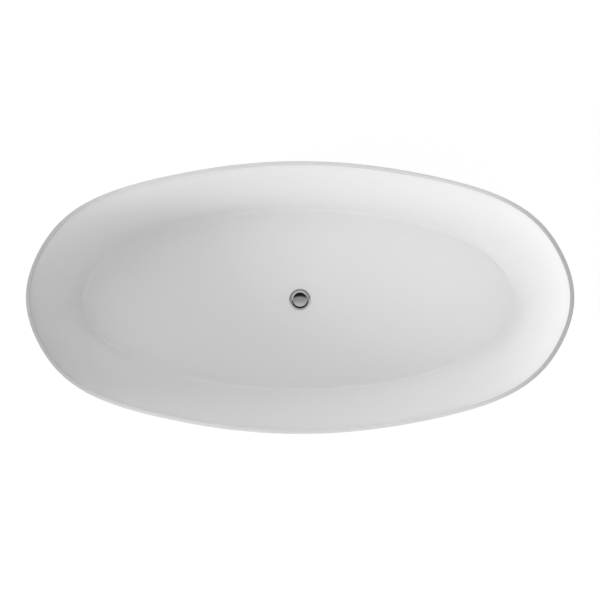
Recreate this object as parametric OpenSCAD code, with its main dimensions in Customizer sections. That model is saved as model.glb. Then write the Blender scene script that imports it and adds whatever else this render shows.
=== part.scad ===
// Freestanding double-ended bathtub, millimetres.
// Origin: on the floor, under the centre of the waste. +X along the tub, +Z up.
// A thin basin hangs from its own rim inside a separate outer skirt. A steel underframe
// under the base board carries it on four screw feet. The waste has a click plug.

/* [Rim and height] */
// Overall length over the rim
tub_l = 1700; // [1500:10:1900]
// Overall width over the rim
tub_w = 846; // [760:2:940]
// Height of the rim above the floor
tub_h = 580; // [500:5:660]
// Width of the flat top of the rim
rim_land = 14; // [13:0.5:20]
// Thickness of the rim flange
rim_t = 8; // [7:0.5:12]
// Radius rolled on both edges of the rim
rim_roll = 2.5; // [1:0.5:3]
// How far the four shoulders of the outline swell past an ellipse, in percent
shoulder_swell = 4.6; // [0:0.2:6]
// Place of a shoulder, as an angle from the long axis
shoulder_at = 41; // [36:1:50]
// Spread of a shoulder, as an angle
shoulder_spread = 19; // [16:1:24]

/* [Basin] */
// Run of the sloped wall at each end
end_slope = 138; // [100:2:180]
// Run of the sloped wall at each side
side_slope = 125; // [90:1:130]
// Share of the rim's shoulder swell that the floor outline keeps
floor_swell = 0.35; // [0:0.05:1]
// Height of the level seat around the waste
seat_h = 144; // [130:1:180]
// Fall of the floor from its edge to the waste
floor_fall = 6; // [3:1:12]
// Radius between the wall and the floor
corner_r = 16; // [10:1:40]
// Wall of the basin: acrylic with its fibreglass backing
basin_t = 7; // [5:0.5:8]
// Radius of the level seat around the waste
seat_r = 46; // [42:1:60]

/* [Skirt] */
// How far the foot of the skirt stands in from the rim at each end
end_inset = 70; // [50:2:80]
// How far the foot of the skirt stands in from the rim at each side
side_inset = 61; // [40:1:70]
// Wall of the skirt
skirt_t = 5; // [4:0.5:6]
// Gap between the skirt and the floor
skirt_gap = 6; // [4:0.5:10]
// Fullness of the skirt's side, 1 is straight and less is rounder
skirt_belly = 0.8; // [0.7:0.05:1]
// Width of the flange turned in at the foot of the skirt
skirt_flange = 30; // [26:1:40]
// Thickness of the glue line between the skirt and the rim
bond_t = 1; // [0.6:0.2:2]

/* [Base board and frame] */
// How far the base board stops short of the bathing floor at each end
board_end_gap = 108; // [90:2:140]
// How far the base board stops short of the bathing floor at each side
board_side_gap = 64; // [60:2:86]
// Thickness of the base board
board_t = 15; // [12:1:18]
// Opening in the board for the waste nut
board_hole_d = 104; // [96:2:120]
// Side of the square frame tube
tube = 30; // [26:1:34]
// Wall of the frame tube
tube_t = 2; // [1.5:0.5:3]
// How far a rail stops short of the base board at each end
rail_end_gap = 90; // [60:5:110]
// Distance between the middles of the two rails
rail_pitch = 250; // [220:5:270]
// Distance from the end of a rail to the middle of its cross bar
bar_end_gap = 70; // [50:5:90]
// How far a cross bar runs on past the foot
bar_past_foot = 40; // [36:1:50]
// Diameter of the bolts that join the rails to the bars
frame_bolt_d = 8; // [6:1:10]
// Diameter of the screws that hold the board
board_screw_d = 5; // [4:0.5:6]
// Screws in each rail
board_screws_n = 4; // [2:2:6]

/* [Feet] */
// Distance from a foot to the upright of the skirt bracket beside it
foot_reach = 69; // [64:1:76]
// Diameter of the screw of a foot
stud_d = 12; // [10:1:14]
// Diameter of the pad that meets the floor
pad_d = 50; // [40:1:56]
// Height of the pad
pad_h = 16; // [14:1:20]
// Thickness of the rubber sole under the pad
sole_t = 3; // [2:0.5:4]
// Height of the nuts on the feet
foot_nut_h = 8; // [6:1:10]
// Longest way that a foot screws out
foot_travel = 17.5; // [10:0.5:20]

/* [Brackets] */
// Thickness of the skirt brackets
bracket_t = 3; // [2:0.5:4]
// Width of the skirt brackets
bracket_w = 34; // [28:1:40]
// Diameter of the screws of the brackets
bracket_screw_d = 6; // [5:0.5:8]

/* [Waste] */
// Outer diameter of the waste flange
flange_d = 70; // [66:1:80]
// Diameter of the threaded tail
tail_d = 47.8; // [46:0.1:49]
// Bore of the tail
tail_bore_d = 40; // [38:0.5:41]
// Diameter of the plain neck above the free thread of the tail
tail_neck_d = 47; // [45:0.1:47.4]
// Length of the tail below the level seat
tail_l = 70; // [62:1:80]
// Play between the tail and the hole in the basin
tail_play = 1.1; // [0.6:0.1:2]
// Thickness of the rubber ring under the flange
top_seal_t = 1.5; // [1:0.5:3]
// Thickness of the rubber washer under the basin
low_seal_t = 3; // [2:0.5:4]
// Thickness of the slip washer under the rubber
slip_washer_t = 1.5; // [1:0.5:2]
// Diameter of the waste nut across its lugs
nut_d = 76; // [70:1:80]
// Height of the waste nut
nut_h = 12; // [10:1:16]

/* [Click plug] */
// Diameter of the plug cap
cap_d = 46; // [45:0.5:48]
// Rise of the cap's dome
cap_dome = 2.6; // [1:0.2:4]
// Travel of the plug from closed to open
plug_travel = 9; // [6:1:12]
// Diameter of the plunger
plunger_d = 8; // [6:0.5:9]
// Outer diameter of the cartridge
cartridge_d = 16; // [15:0.5:18]
// Diameter of the spring wire
spring_wire = 1.2; // [0.8:0.1:1.6]

/* [Hidden] */

// Steps round the outline: a multiple of four puts points on both axes
STEPS = 88;
// Facets of small round parts
$fn = 48;
// Least gap that keeps two pieces of different bodies apart
CLEAR = 0.3;
// Play between a screw and the hole that it passes through
HOLE_PLAY = 0.25;
// Radial play of a part that slides or turns in its bore
RUN_PLAY = 0.06;

seat_z = seat_h;
floor_z = seat_z + floor_fall;
under_z = seat_z - basin_t;
board_z = under_z - board_t;
rail_z = board_z - tube;
bar_z = rail_z - tube;
skirt_top = tub_h - rim_t - bond_t;
floor_l = tub_l - 2 * (rim_land + end_slope);
floor_w = tub_w - 2 * (rim_land + side_slope);
skirt_l = tub_l - 2 * end_inset;
skirt_w = tub_w - 2 * side_inset;
board_l = floor_l - 2 * board_end_gap;
board_w = floor_w - 2 * board_side_gap;
rail_l = board_l - 2 * rail_end_gap;
rail_y = rail_pitch / 2;
bar_x = rail_l / 2 - bar_end_gap;
// Width of the bracket's seat on the skirt's foot flange
BRACKET_SEAT = 14;
// Distance from the end of a cross bar to the bracket's screw
SCREW_FROM_END = 10;
// Half width inside the skirt's foot, at the cross bar
skirt_inner_y = (skirt_w / 2 - skirt_t)
    * sqrt(1 - pow(bar_x / (skirt_l / 2 - skirt_t), 2));
bracket_web_y = skirt_inner_y - BRACKET_SEAT - bracket_t - 0.5;
flange_top = skirt_gap + skirt_t;
// The foot stands at a whole millimetre inside the bracket's upright
foot_y = floor(bracket_web_y - foot_reach);
bar_l = 2 * (foot_y + bar_past_foot);
bracket_screw_y = bar_l / 2 - SCREW_FROM_END;
PAD_SEAT = 5;
stud_foot = sole_t + PAD_SEAT;
stud_top = bar_z + tube + foot_nut_h + foot_travel + 5;
STUD_HEAD_H = 5;
stud_head_d = stud_d * 1.6;
foot_sites = [[1, 1], [1, -1], [-1, 1], [-1, -1]];
rim_a = tub_l / 2;
rim_b = tub_w / 2;
mouth_a = rim_a - rim_land;
mouth_b = rim_b - rim_land;
swell = shoulder_swell / 100;

// ---------- outline ----------
function hump(a, c) = let (d = abs(a - c), w = min(d, 360 - d)) exp(-pow(w / shoulder_spread, 2));
function humps(a) = hump(a, shoulder_at) + hump(a, 180 - shoulder_at)
    + hump(a, 180 + shoulder_at) + hump(a, 360 - shoulder_at);
// Swell of the outline at angle a; it is nought on both axes, so length and width stay true
function bulge(a) = humps(a) - humps(0) * pow(cos(a), 2) - humps(90) * pow(sin(a), 2);
function rim_pt(a, half_l, half_w, share = 1) =
    (1 + swell * share * bulge(a)) * [half_l * cos(a), half_w * sin(a)];
function angles() = [for (i = [0 : STEPS - 1]) i * 360 / STEPS];
function outline(half_l, half_w, share = 1) =
    [for (a = angles()) rim_pt(a, half_l, half_w, share)];
function ring(half_l, half_w, z, share = 1) =
    [for (p = outline(half_l, half_w, share)) [p.x, p.y, z]];
function circle_ring(r, z) = [for (a = angles()) [r * cos(a), r * sin(a), z]];

// ---------- skin over rings of STEPS points ----------
function band(lower, upper) = [for (i = [0 : STEPS - 1]) let (j = (i + 1) % STEPS)
    each [[lower * STEPS + i, lower * STEPS + j, upper * STEPS + j],
        [lower * STEPS + i, upper * STEPS + j, upper * STEPS + i]]];
function lid(row) = [for (i = [0 : STEPS - 1]) row * STEPS + i];
function turned(face) = [for (i = [len(face) - 1 : -1 : 0]) face[i]];

// Rings run from the bottom face, up the outside, over the top and down the inside
module closed_skin(rings) {
    n = len(rings);
    faces = [for (k = [0 : n - 2]) each [for (f = band(k, k + 1)) turned(f)]];
    polyhedron([for (r = rings) each r], concat([lid(0)], [turned(lid(n - 1))], faces), 4);
}

module ring_skin(rings) {
    n = len(rings);
    faces = [for (k = [0 : n - 1]) each [for (f = band(k, (k + 1) % n)) turned(f)]];
    polyhedron([for (r = rings) each r], faces, 4);
}

// ---------- basin section ----------
// The section at one angle is drawn in (run, rise) from the floor's edge. The wall is
// straight and tangent to the round corner.
function wall_run(a) =
    norm(rim_pt(a, mouth_a, mouth_b) - rim_pt(a, floor_l / 2, floor_w / 2, floor_swell));
function wall_rise() = tub_h - rim_roll - floor_z;
function tangent_at(a) = let (u = wall_run(a), v = wall_rise() - corner_r)
    atan2(v, u) - acos(corner_r / norm([u, v]));
function placed(a, s, rise) =
    let (f = rim_pt(a, floor_l / 2, floor_w / 2, floor_swell),
        m = rim_pt(a, mouth_a, mouth_b), p = f + s * (m - f) / norm(m - f))
    [p.x, p.y, floor_z + rise];
// One ring of the corner, grown outwards by `grow`; `part` goes from 0 at the floor to 1
function corner_ring(part, grow) = [for (a = angles())
    let (t = -90 + (tangent_at(a) + 90) * part)
    placed(a, (corner_r + grow) * cos(t), corner_r + (corner_r + grow) * sin(t))];
// The ring where the wall's outer face meets the rim flange
function wall_top_ring(grow, rise) = [for (a = angles())
    let (t = tangent_at(a), lean = tan(-t))
    placed(a, wall_run(a) + grow / cos(t) + (rise - wall_rise()) * lean, rise)];

CORNER_CUTS = [0, 0.2, 0.4, 0.6, 0.8, 1];
// The flat of the basin's underside, as a share of the floor outline
UNDER_SHARE = 0.92;
module basin_body() {
    flange_z = tub_h - rim_t;
    outer_edge = [for (q = [0, 0.5, 1]) ring(rim_a - rim_roll * (1 - cos(90 * q)),
        rim_b - rim_roll * (1 - cos(90 * q)), tub_h - rim_roll * (1 - sin(90 * q)))];
    inner_edge = [for (q = [0.5, 0]) ring(mouth_a + rim_roll * (1 - cos(90 * q)),
        mouth_b + rim_roll * (1 - cos(90 * q)), tub_h - rim_roll * (1 - sin(90 * q)))];
    land_edge = ring(mouth_a + rim_roll, mouth_b + rim_roll, tub_h);
    closed_skin(concat(
        [ring(floor_l / 2 * UNDER_SHARE, floor_w / 2 * UNDER_SHARE, under_z, floor_swell)],
        [for (c = CORNER_CUTS) corner_ring(c, basin_t)],
        [wall_top_ring(basin_t, flange_z - floor_z)],
        [ring(rim_a, rim_b, flange_z)],
        outer_edge, [land_edge], inner_edge,
        [for (i = [len(CORNER_CUTS) - 1 : -1 : 0]) corner_ring(CORNER_CUTS[i], 0)],
        [circle_ring(seat_r, seat_z)]));
}

module basin() color("white") difference() {
    basin_body();
    translate([0, 0, under_z - 1])
        cylinder(h = basin_t + 2, d = tail_d + 2 * tail_play);
}

// ---------- skirt ----------
SKIRT_CUTS = [0, 0.12, 0.3, 0.5, 0.75, 1];
function skirt_ring(part, inset) = let (s = pow(part, skirt_belly))
    ring(skirt_l / 2 + (rim_a - skirt_l / 2) * s - inset,
        skirt_w / 2 + (rim_b - skirt_w / 2) * s - inset,
        skirt_gap + (skirt_top - skirt_gap) * part);
function at_height(rings, z) = [for (p = rings) [p.x, p.y, z]];

module outer_skirt() color("whitesmoke") {
    n = len(SKIRT_CUTS);
    ring_skin(concat(
        [at_height(skirt_ring(0, skirt_flange), skirt_gap)],
        [for (c = SKIRT_CUTS) skirt_ring(c, 0)],
        [for (i = [n - 1 : -1 : 1]) skirt_ring(SKIRT_CUTS[i], skirt_t)],
        [at_height(skirt_ring(0, skirt_t), skirt_gap + skirt_t)],
        [at_height(skirt_ring(0, skirt_flange), skirt_gap + skirt_t)]));
}

module rim_bond() color("ivory") translate([0, 0, skirt_top]) linear_extrude(bond_t)
    difference() {
        polygon(outline(rim_a - 0.5, rim_b - 0.5));
        polygon(outline(rim_a - skirt_t, rim_b - skirt_t));
    }

// ---------- board and frame ----------
module at_frame_bolts() for (x = [-bar_x, bar_x], y = [-rail_y, rail_y])
    translate([x, y, 0]) children();

// Rail kept free of screws beside each cross bar
SCREW_MARGIN = 60;
// Board left whole over the point of a screw
BOARD_SKIN = 3;
screw_step = (rail_l - SCREW_MARGIN - 2 * tube) / board_screws_n;
module at_board_screws() for (i = [0 : board_screws_n - 1], y = [-rail_y, rail_y])
    translate([(i - (board_screws_n - 1) / 2) * screw_step, y, 0]) children();

module base_board() color("burlywood") difference() {
    translate([0, 0, board_z]) linear_extrude(board_t)
        polygon(outline(board_l / 2, board_w / 2));
    translate([0, 0, board_z - 1]) cylinder(h = board_t + 2, d = board_hole_d);
    at_board_screws() translate([0, 0, board_z - 1])
        cylinder(h = board_t - BOARD_SKIN + 1 + HOLE_PLAY, d = board_screw_d + 2 * HOLE_PLAY);
}

module box_tube(l) difference() {
    translate([-l / 2, -tube / 2, 0]) cube([l, tube, tube]);
    translate([-l / 2 - 1, -tube / 2 + tube_t, tube_t])
        cube([l + 2, tube - 2 * tube_t, tube - 2 * tube_t]);
}

module rail(side) color("gainsboro") difference() {
    translate([0, side * rail_y, rail_z]) box_tube(rail_l);
    at_frame_bolts() translate([0, 0, rail_z - 1])
        cylinder(h = tube_t + 2, d = frame_bolt_d + 2 * HOLE_PLAY);
    at_board_screws() translate([0, 0, rail_z - 1])
        cylinder(h = tube + 2, d = board_screw_d + 2 * HOLE_PLAY);
}
module frame_rail_right() rail(1);
module frame_rail_left() rail(-1);

module cross_bar(side) color("gainsboro") difference() {
    translate([side * bar_x, 0, bar_z]) rotate(90) box_tube(bar_l);
    at_frame_bolts() translate([0, 0, bar_z - 1])
        cylinder(h = tube + 2, d = frame_bolt_d + 2 * HOLE_PLAY);
    for (y = [-foot_y, foot_y]) translate([side * bar_x, y, bar_z - 1])
        cylinder(h = tube + 2, d = stud_d + 2 * CLEAR);
    for (y = [-bracket_screw_y, bracket_screw_y]) translate([side * bar_x, y, bar_z - 1])
        cylinder(h = tube_t + 2, d = bracket_screw_d + 2 * HOLE_PLAY);
}
module cross_bar_head() cross_bar(-1);
module cross_bar_foot() cross_bar(1);

BOLT_HEAD_H = 5;
// Height of a screw head
HEAD_H = 4;
// Bolt that stands past its nut
BOLT_END = 4;
// Width across flats of a nut or bolt head, per thread diameter
FLATS = 1.6;
module hex(h, across, bore = 0) difference() {
    cylinder(h = h, d = across / cos(30), $fn = 6);
    if (bore > 0) translate([0, 0, -1]) cylinder(h = h + 2, d = bore);
}

module frame_bolts() color("silver") at_frame_bolts() {
    translate([0, 0, bar_z - BOLT_HEAD_H]) hex(BOLT_HEAD_H, frame_bolt_d * FLATS);
    translate([0, 0, bar_z - 0.5])
        cylinder(h = tube + tube_t + frame_bolt_d + BOLT_END, d = frame_bolt_d);
}

module frame_nuts() color("silver") at_frame_bolts()
    translate([0, 0, rail_z + tube_t])
        hex(frame_bolt_d * 0.8, frame_bolt_d * FLATS, frame_bolt_d + 0.2);

module board_screws() color("silver") at_board_screws() {
    translate([0, 0, rail_z - HEAD_H]) cylinder(h = HEAD_H, d = board_screw_d * 2);
    translate([0, 0, rail_z - 0.5])
        cylinder(h = tube + board_t - BOARD_SKIN + 0.5, d = board_screw_d);
}

// ---------- skirt brackets ----------
// A bracket hangs under the end of a cross bar and stands on the skirt's foot flange
module bracket_slab(sy, y0, y1, z0, z1)
    translate([-bracket_w / 2, min(sy * y0, sy * y1), z0])
        cube([bracket_w, abs(y1 - y0), z1 - z0]);
module bracket(sx, sy) color("silver") translate([sx * bar_x, 0, 0]) difference() {
    outer_y = bracket_web_y + bracket_t;
    union() {
        bracket_slab(sy, bracket_screw_y - SCREW_FROM_END, outer_y, bar_z - bracket_t, bar_z);
        bracket_slab(sy, bracket_web_y, outer_y, flange_top, bar_z);
        bracket_slab(sy, bracket_web_y, outer_y + BRACKET_SEAT,
            flange_top, flange_top + bracket_t);
    }
    translate([0, sy * bracket_screw_y, bar_z - bracket_t - 1])
        cylinder(h = bracket_t + 2, d = bracket_screw_d + 2 * HOLE_PLAY);
}
module skirt_bracket_1() bracket(1, 1);
module skirt_bracket_2() bracket(1, -1);
module skirt_bracket_3() bracket(-1, 1);
module skirt_bracket_4() bracket(-1, -1);

module bracket_screws() color("silver") for (s = foot_sites)
    translate([s.x * bar_x, s.y * bracket_screw_y, 0]) {
        translate([0, 0, bar_z - bracket_t - HEAD_H])
            cylinder(h = HEAD_H, d = bracket_screw_d * 1.7);
        translate([0, 0, bar_z - bracket_t - 0.5])
            cylinder(h = bracket_t + tube_t + 6, d = bracket_screw_d);
    }

// ---------- feet ----------
module at_foot(i) translate([foot_sites[i].x * bar_x, foot_sites[i].y * foot_y, 0]) children();

module pad() color("dimgray") rotate_extrude() polygon([
    [0, sole_t], [pad_d / 2 - 2, sole_t], [pad_d / 2, sole_t + 2],
    [pad_d / 2, sole_t + 4], [stud_head_d / 2 + 4, pad_h],
    [stud_d / 2 + 1, pad_h], [stud_d / 2 + 1, stud_foot + STUD_HEAD_H + CLEAR],
    [stud_head_d / 2 + RUN_PLAY, stud_foot + STUD_HEAD_H + CLEAR],
    [stud_head_d / 2 + RUN_PLAY, stud_foot], [0, stud_foot]]);

module sole() color("black") cylinder(h = sole_t, d = pad_d - 4);

module stud() color("silver") {
    translate([0, 0, stud_foot + RUN_PLAY]) cylinder(h = STUD_HEAD_H, d = stud_head_d);
    translate([0, 0, stud_foot + 1]) cylinder(h = stud_top - stud_foot - 1, d = stud_d);
}

module foot_pad_1() at_foot(0) pad();
module foot_pad_2() at_foot(1) pad();
module foot_pad_3() at_foot(2) pad();
module foot_pad_4() at_foot(3) pad();
module foot_sole_1() at_foot(0) sole();
module foot_sole_2() at_foot(1) sole();
module foot_sole_3() at_foot(2) sole();
module foot_sole_4() at_foot(3) sole();
module foot_stud_1() at_foot(0) stud();
module foot_stud_2() at_foot(1) stud();
module foot_stud_3() at_foot(2) stud();
module foot_stud_4() at_foot(3) stud();

module foot_nut(z) translate([0, 0, z])
    hex(foot_nut_h, stud_d * FLATS, stud_d + 2 * RUN_PLAY);
module foot_carrier_nuts() color("silver") for (i = [0 : 3]) at_foot(i) foot_nut(bar_z + tube);
module foot_lock_nuts() color("silver") for (i = [0 : 3])
    at_foot(i) foot_nut(bar_z - foot_nut_h);

// ---------- waste ----------
tail_r = tail_d / 2;
neck_r = tail_neck_d / 2;
bore_r = tail_bore_d / 2;
flange_r = flange_d / 2;
cap_r = cap_d / 2;
lip_z = seat_z + top_seal_t;
LIP_H = 3;
dish_z = seat_z + 0.4;
tail_end = seat_z - tail_l;
nut_z = under_z - low_seal_t - slip_washer_t - nut_h;
web_z = dish_z - 26;
WEB_H = 8;
WEB_T = 4;
WEB_BOSS = 3.5;
WASHER_PLAY = 0.2;

// Radial gap between the cap and the crowned ring round it
CAP_GAP = 0.5;
// Distance of the ring's crest from the outer edge
CREST_IN = 4;
// Fall of the ring from its crest to the gap
RING_FALL = 1.3;
ring_in = cap_r + CAP_GAP;
crest_r = flange_r - CREST_IN;
// Points of the crowned ring, from the crest in to the gap
function crowned_ring() = [for (q = [0 : 0.2 : 1])
    [crest_r + (ring_in + 0.3 - crest_r) * q, lip_z + LIP_H - RING_FALL * q * q]];

// Half section: tail, neck, underside of the lip, rolled edge, ring, gap and the plug's seat
module waste_flange() color("silver") {
    rotate_extrude($fn = 72) polygon(concat([
        [bore_r, tail_end], [tail_r - 1, tail_end], [tail_r, tail_end + 1],
        [tail_r, nut_z - WASHER_PLAY], [neck_r, nut_z - WASHER_PLAY],
        [neck_r, lip_z], [flange_r - 2, lip_z], [flange_r - 2, seat_z + CLEAR],
        [flange_r - 0.6, seat_z + CLEAR], [flange_r, lip_z],
        [flange_r - 0.3, lip_z + 1.3], [flange_r - 1.1, lip_z + 2.3],
        [flange_r - 2.4, lip_z + 2.8]],
        crowned_ring(),
        [[ring_in, lip_z + LIP_H - RING_FALL - 0.3], [ring_in, dish_z],
        [bore_r + 0.6, dish_z], [bore_r, dish_z - 0.6]]));
    difference() {
        union() {
            for (t = [0, 90]) rotate(t) translate([-bore_r - 1, -WEB_T / 2, web_z])
                cube([2 * bore_r + 2, WEB_T, WEB_H]);
            translate([0, 0, web_z]) cylinder(h = WEB_H, r = cartridge_d / 2 + WEB_BOSS);
        }
        translate([0, 0, web_z - 1]) cylinder(h = WEB_H + 2, d = cartridge_neck + 0.2);
    }
}

module washer(z, h, inner_r, outer_r) translate([0, 0, z]) difference() {
    cylinder(h = h, r = outer_r);
    translate([0, 0, -1]) cylinder(h = h + 2, r = inner_r);
}
module waste_top_seal() color("dimgray")
    washer(seat_z, top_seal_t, neck_r + WASHER_PLAY, flange_r - 3);
module waste_low_seal() color("dimgray")
    washer(under_z - low_seal_t, low_seal_t, neck_r + WASHER_PLAY, nut_d / 2 - 1);
module waste_slip_washer() color("white")
    washer(nut_z + nut_h, slip_washer_t, neck_r + WASHER_PLAY, nut_d / 2);

LUG = 8;
LUG_W = 10;
module waste_nut() color("white") translate([0, 0, nut_z]) difference() {
    union() {
        cylinder(h = nut_h, r = nut_d / 2 - LUG + 2);
        for (t = [0 : 60 : 300]) rotate(t) translate([nut_d / 2 - LUG, -LUG_W / 2, 0])
            cube([LUG, LUG_W, nut_h]);
    }
    translate([0, 0, -1]) cylinder(h = nut_h + 2, r = neck_r + WASHER_PLAY);
}

// ---------- click plug ----------
cap_under = dish_z + 1.6;
CAP_EDGE = 3.2;
CAP_SOCKET = 2;
cartridge_neck = plunger_d + 2;
cartridge_top = cap_under - 2 * CLEAR;
neck_foot = web_z - 8;
spring_foot = web_z - 6;
plunger_foot = cartridge_top - plug_travel - 8;

module plug_cartridge() color("goldenrod") difference() {
    union() {
        translate([0, 0, web_z + WEB_H])
            cylinder(h = cartridge_top - web_z - WEB_H, d = cartridge_d);
        translate([0, 0, neck_foot]) cylinder(h = cartridge_top - neck_foot, d = cartridge_neck);
    }
    translate([0, 0, spring_foot])
        cylinder(h = cartridge_top - spring_foot + 1, d = plunger_d + 2 * RUN_PLAY);
}

module plug_plunger() color("silver") translate([0, 0, plunger_foot])
    cylinder(h = cap_under + CAP_SOCKET - plunger_foot, d = plunger_d);

// A coil spring stands on the cartridge's floor and lifts the plunger
SPRING_TURNS = 4;
SPRING_STEPS = 14;
SPRING_SIDES = 6;
module plug_spring() color("gray") {
    coil_r = plunger_d / 2 - spring_wire / 2 - 0.3;
    low = spring_foot + spring_wire / 2 + 0.1;
    rise = plunger_foot - spring_foot - spring_wire - 0.2;
    n = SPRING_TURNS * SPRING_STEPS;
    rings = [for (i = [0 : n]) [for (k = [0 : SPRING_SIDES - 1])
        let (a = 360 * i / SPRING_STEPS, b = 360 * k / SPRING_SIDES,
            r = coil_r + spring_wire / 2 * cos(b))
        [r * cos(a), r * sin(a), low + rise * i / n + spring_wire / 2 * sin(b)]]];
    sides = [for (i = [0 : n - 1]) each [for (k = [0 : SPRING_SIDES - 1])
        let (m = (k + 1) % SPRING_SIDES, p = i * SPRING_SIDES, q = p + SPRING_SIDES)
        each [[p + k, q + m, q + k], [p + k, p + m, q + m]]]];
    start = [for (k = [SPRING_SIDES - 1 : -1 : 0]) k];
    finish = [for (k = [0 : SPRING_SIDES - 1]) n * SPRING_SIDES + k];
    polyhedron([for (r = rings) each r], concat([start], [finish], sides), 4);
}

module plug_cap() color("silver") difference() {
    rotate_extrude($fn = 72) polygon([
        [0, cap_under], [cap_r - 1, cap_under], [cap_r, cap_under + 1],
        [cap_r, cap_under + CAP_EDGE - 1], [cap_r - 1, cap_under + CAP_EDGE],
        [cap_r * 0.6, cap_under + CAP_EDGE + cap_dome * 0.64],
        [0, cap_under + CAP_EDGE + cap_dome]]);
    translate([0, 0, cap_under - 1])
        cylinder(h = 1 + CAP_SOCKET + 0.2, d = plunger_d + 0.1);
}

module plug_seal() color("black")
    washer(dish_z + CLEAR, cap_under - dish_z - CLEAR, cartridge_d / 2 + 4, cap_r - 1);

basin();
outer_skirt();
rim_bond();
base_board();
frame_rail_right();
frame_rail_left();
cross_bar_head();
cross_bar_foot();
frame_bolts();
frame_nuts();
board_screws();
skirt_bracket_1();
skirt_bracket_2();
skirt_bracket_3();
skirt_bracket_4();
bracket_screws();
foot_pad_1();
foot_pad_2();
foot_pad_3();
foot_pad_4();
foot_sole_1();
foot_sole_2();
foot_sole_3();
foot_sole_4();
foot_stud_1();
foot_stud_2();
foot_stud_3();
foot_stud_4();
foot_carrier_nuts();
foot_lock_nuts();
waste_flange();
waste_top_seal();
waste_low_seal();
waste_slip_washer();
waste_nut();
plug_cartridge();
plug_spring();
plug_plunger();
plug_cap();
plug_seal();
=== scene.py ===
import functools
import math
from typing import NamedTuple

import bmesh
import bpy
from bpy.props import FloatProperty, FloatVectorProperty, PointerProperty
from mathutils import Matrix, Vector


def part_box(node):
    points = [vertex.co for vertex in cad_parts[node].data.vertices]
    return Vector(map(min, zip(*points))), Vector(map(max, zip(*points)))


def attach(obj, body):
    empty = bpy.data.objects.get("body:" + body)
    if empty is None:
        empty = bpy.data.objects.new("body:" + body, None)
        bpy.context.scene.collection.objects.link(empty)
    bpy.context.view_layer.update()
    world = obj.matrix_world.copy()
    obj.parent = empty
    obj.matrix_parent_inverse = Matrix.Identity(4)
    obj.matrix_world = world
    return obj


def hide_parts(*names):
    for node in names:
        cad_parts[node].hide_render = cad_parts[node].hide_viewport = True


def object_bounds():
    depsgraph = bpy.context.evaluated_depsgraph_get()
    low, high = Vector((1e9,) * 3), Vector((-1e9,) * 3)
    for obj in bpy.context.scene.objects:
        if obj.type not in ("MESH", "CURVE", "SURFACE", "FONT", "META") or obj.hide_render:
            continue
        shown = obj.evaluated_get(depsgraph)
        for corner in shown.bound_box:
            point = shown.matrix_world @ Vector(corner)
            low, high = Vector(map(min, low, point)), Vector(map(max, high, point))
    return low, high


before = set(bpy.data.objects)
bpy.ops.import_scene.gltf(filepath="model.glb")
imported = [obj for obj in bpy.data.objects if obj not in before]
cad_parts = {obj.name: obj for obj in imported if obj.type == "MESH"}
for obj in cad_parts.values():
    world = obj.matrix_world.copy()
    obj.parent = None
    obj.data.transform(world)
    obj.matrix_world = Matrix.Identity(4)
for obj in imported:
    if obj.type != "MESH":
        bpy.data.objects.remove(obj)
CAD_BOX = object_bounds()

bl_info = {
    "name": "Freestanding Bathtub",
    "version": (1, 0, 0),
    "blender": (4, 5, 0),
    "location": "View3D > Sidebar > Bathtub",
    "description": "Shells, waste, feet, finishes and studio of a double-ended bathtub",
    "category": "Object",
}

MM = 0.001
LAMP_DISTANCE = 4.0
SENSOR_WIDTH = 36.0

# Points in one ring of each round piece
AROUND = 240
WASTE_AROUND = 96
BOSS_AROUND = 48
STUD_AROUND = 24

# Steps that each stretch of a section is cut into
ROLL_CUTS = 6
WALL_CUTS = 10
CORNER_CUTS = 14
BACK_CORNER_CUTS = 6
FLOOR_CUTS = 8
SKIRT_CUTS = 28
NOSE_CUTS = 5
LIP_CUTS = 10
DOME_CUTS = 24


# ---------------------------------------------------------------- sizes and colours

def length(name, description, default, low=0.0):
    """A size in metres for the sidebar."""
    return FloatProperty(name=name, description=description, default=default, min=low,
                         precision=4, unit="LENGTH")


def angle(name, description, degrees):
    """An angle for the sidebar."""
    return FloatProperty(name=name, description=description, default=math.radians(degrees),
                         subtype="ANGLE")


def share(name, description, default):
    """A number from 0 to 1 for the sidebar."""
    return FloatProperty(name=name, description=description, default=default, min=0.0,
                         max=1.0, subtype="FACTOR")


def colour(name, description, default):
    """A colour for the sidebar."""
    return FloatVectorProperty(name=name, description=description, default=default,
                               size=3, min=0.0, max=1.0, subtype="COLOR")


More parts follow.
